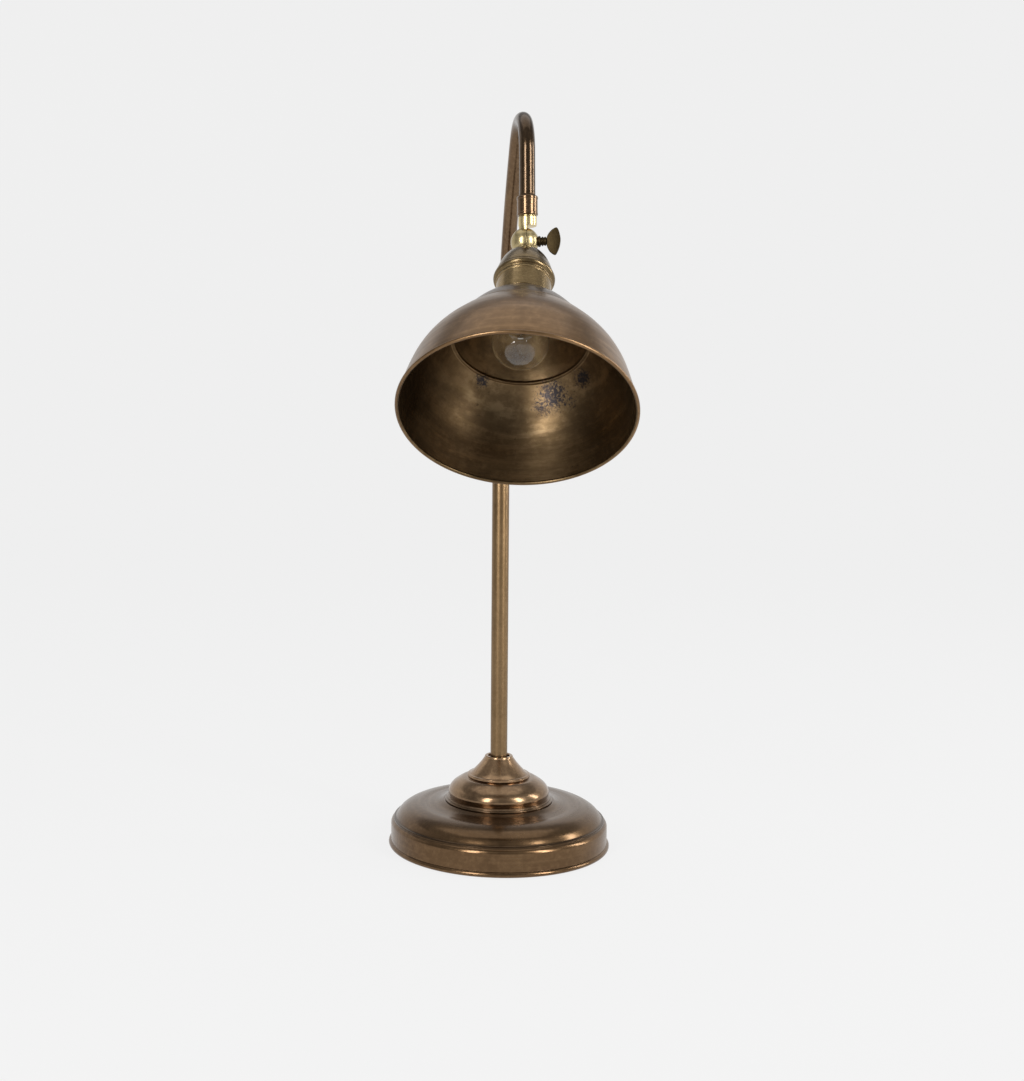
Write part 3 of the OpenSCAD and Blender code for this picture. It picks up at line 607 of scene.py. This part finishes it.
shade_curve = spline([(21.4, NECK_T + 0.2), (25.7, 70.0), (31.0, 75.0), (36.4, 80.0), (41.7, 86.0),
                      (46.2, 92.0),
                      (50.2, 98.0), (52.8, 102.0)], 8)
shade_body = spline([(55.0, 104.4), (59.6, 109.6), (64.7, 116.0), (70.9, 124.2), (76.9, 134.0), (81.7, 145.0),
                     (85.2, 157.0), (87.8, 168.0), (RIM_R - 1.6, RIM_T - 2.4)], 12)
outer = ([(19.7, NECK_T + 0.1), (20.6, NECK_T + 0.1)] + shade_curve + rounded([shade_curve[-1], (53.9, 102.8),
         (54.2, 103.6), shade_body[0]], 0.3)[1:-1] + shade_body)
rim = arc((RIM_R - 1.5, RIM_T - 1.5), 1.5, -50, 180, 24)
ridge = rounded([side(shade_body, -SHADE_WALL)[0], (53.2, 105.4), (51.6, 105.4), (51.2, 104.4),
                 side(shade_curve, -SHADE_WALL)[-1]], 0.5)[1:-1]
inner = (list(reversed(side(shade_body, -SHADE_WALL))) + ridge + list(reversed(side(shade_curve,
                                                                                    -SHADE_WALL)))
         + [(19.7, NECK_T + 1.4)])
first_in = len(outer) + 16
lathe("shade_bell", down(outer + rim + inner), HEAD, "head", ["shade"], [SHADE_OUT, SHADE_IN],
      320,
      mat_of=lambda k: 1 if k >= first_in else 0, edge=0)

lathe("holder_shell", down([(5, 28), (8, 28), (8, 37), (17.0, 38.4), (19.0, 40.4), (19.0, 60), (19.5, 60),
                            (19.5, 76),
                            (14.2, 76), (14.2, 45), (3, 45), (3, 36.2), (5, 36.2)]),
      HEAD, "head", ["holder_body"], [BLACK], 128)
lathe("shade_ring", down([(19.6, NECK_T + 2.2), (20.8, NECK_T + 2.2), (22.6, NECK_T + 4.2),
                          (23.0, NECK_T + 6.2),
                          (22.4, NECK_T + 7), (19.6, NECK_T + 7)]),
      HEAD, "head", ["holder_ring"], [BLACK], 128)

# ---------------------------------------------------------------- bulb
NECK_G = 78.6
glass_out = ([(12.2, NECK_G - 2.2), (12.3, NECK_G), (12.9, NECK_G + 3.4)]
             + [(BULB_R * cos(a), BULB_T + BULB_R * sin(a)) for a in range(-52, 88, 3)] + [(0,
                                                                                            BULB_T + BULB_R)])
glass_in = ([(0, BULB_T + BULB_R - 0.8)]
            + [((BULB_R - 0.8) * cos(a), BULB_T + (BULB_R - 0.8) * sin(a)) for a in range(86, -54, -3)]
            + [(12.1, NECK_G + 3.6), (11.5, NECK_G), (11.4, NECK_G - 2.2)])
lathe("bulb_globe", down(glass_out + glass_in), HEAD, "bulb", ["bulb_glass"], [GLASS], 160,
      edge=0)

# ---------------------------------------------------------------- CAD nodes that stay, with new materials
KEEP = {
    "base_weight": IRON, "base_nipple": STEEL, "base_washer": STEEL, "base_nut": STEEL,
    "cord_inlet_nut": BLACK,
    "terminal_block": WHITE, "terminal_screws": STEEL, "earth_screw": BRIGHT_BRASS, "pole_plug": POLE_BRASS,
    "pole_wires": SLEEVE, "arm_wires": SLEEVE, "head_nipple": STEEL, "head_nut": STEEL,
    "holder_sleeve": BRIGHT_BRASS,
    "holder_contact": BRIGHT_BRASS, "head_wires": SLEEVE, "bulb_cap": CAP_METAL, "bulb_insulator": BLACK,
    "bulb_contact": STEEL, "bulb_mount": MOUNT, "bulb_filament": FILAMENT,
}
for name, mat in KEEP.items():
    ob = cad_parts[name]
    if not ob.material_slots:
        ob.data.materials.append(mat)
    for held in ob.material_slots:
        held.material = mat

# ---------------------------------------------------------------- stage and light, in metres and watts
STAGE_GLOW, STAGE_ALBEDO, STAGE_FRONT = 0.825, 0.06, 0.33
STAGE_R, STAGE_BEND_R, STAGE_TOP, STAGE_SEGS = 3.2, 1.6, 3.5, 96
STAGE_DROP = 0.0002
LAMP_MIDDLE = (0, -0.1, 0.35)
WORLD_GLOW = 0.35
SOFTBOXES = {  # place, aim, (width, height), power
    "soft_left": ((-1.12, -1.66, 0.95), LAMP_MIDDLE, (0.42, 1.5), 28),
    "soft_right": ((1.35, -1.5, 0.95), LAMP_MIDDLE, (0.38, 1.5), 29),
    "soft_side": ((2.0, -0.1, 0.8), LAMP_MIDDLE, (0.3, 1.3), 14),
    "soft_top": ((0.0, 0.3, 2.3), (0, -0.05, 0.3), (2.4, 1.6), 9),
}


def stage_material():
    """Pale paper that glows a little; the part of the sweep in front of the lamp is kept dimmer."""
    n = Nodes("stage_pale")
    n.nt.nodes.remove(n.bsdf)
    x, y, z = n.split(n.coord)
    r = n.math("SQRT", n.math("ADD", n.math("MULTIPLY", x, x), n.math("MULTIPLY", y, y)))
    back = n.ramp(n.math("DIVIDE", y, n.math("MAXIMUM", r, 0.01)), -0.1, 0.5, STAGE_FRONT, 1.0)
    light = n.ramp(r, 1.4, 2.6, 1.0, back)
    glow = n.nt.nodes.new("ShaderNodeEmission")
    n.link(n.math("MULTIPLY", light, STAGE_GLOW), glow.inputs["Strength"])
    paper = n.nt.nodes.new("ShaderNodeBsdfDiffuse")
    tone = n.math("MULTIPLY", light, STAGE_ALBEDO)
    n.link(n.join(tone, tone, tone), paper.inputs["Color"])
    both = n.nt.nodes.new("ShaderNodeAddShader")
    n.link(paper.outputs[0], both.inputs[0])
    n.link(glow.outputs[0], both.inputs[1])
    n.link(both.outputs[0], n.out.inputs[0])
    return n.mat


bm = bmesh.new()
sweep = [(STAGE_R + STAGE_BEND_R * sin(a), STAGE_BEND_R * (1 - cos(a))) for a in range(6, 91, 6)]
sweep = [(1.0, 0.0), (2.0, 0.0), (STAGE_R, 0.0)] + sweep + [(STAGE_R + STAGE_BEND_R, STAGE_TOP)]
rings = []
for r, z in sweep:
    turns = [2 * math.pi * i / STAGE_SEGS for i in range(STAGE_SEGS)]
    rings.append([bm.verts.new((r * math.cos(t), r * math.sin(t), z - STAGE_DROP)) for t in turns])
centre = bm.verts.new((0, 0, -STAGE_DROP))
for i in range(STAGE_SEGS):
    bm.faces.new((centre, rings[0][i], rings[0][(i + 1) % STAGE_SEGS]))
for a, b in zip(rings, rings[1:]):
    for i in range(STAGE_SEGS):
        j = (i + 1) % STAGE_SEGS
        bm.faces.new((a[i], b[i], b[j], a[j]))
me = bpy.data.meshes.new("floor")
bm.to_mesh(me)
bm.free()
me.polygons.foreach_set("use_smooth", [True] * len(me.polygons))
floor = bpy.data.objects.new("floor", me)
bpy.context.scene.collection.objects.link(floor)
me.materials.append(stage_material())

for name, (at, to, size, power) in SOFTBOXES.items():
    light = bpy.data.lights.new(name, "AREA")
    light.shape = "RECTANGLE"
    light.size, light.size_y = size
    light.energy = power
    ob = bpy.data.objects.new(name, light)
    bpy.context.scene.collection.objects.link(ob)
    ob.location = at
    ob.rotation_euler = (Vector(to) - Vector(at)).to_track_quat("-Z", "Y").to_euler()

world = bpy.data.worlds.new("world")
bpy.context.scene.world = world
world.use_nodes = True
background = world.node_tree.nodes["Background"]
background.inputs["Color"].default_value = (1.0, 1.0, 1.0, 1)
background.inputs["Strength"].default_value = WORLD_GLOW
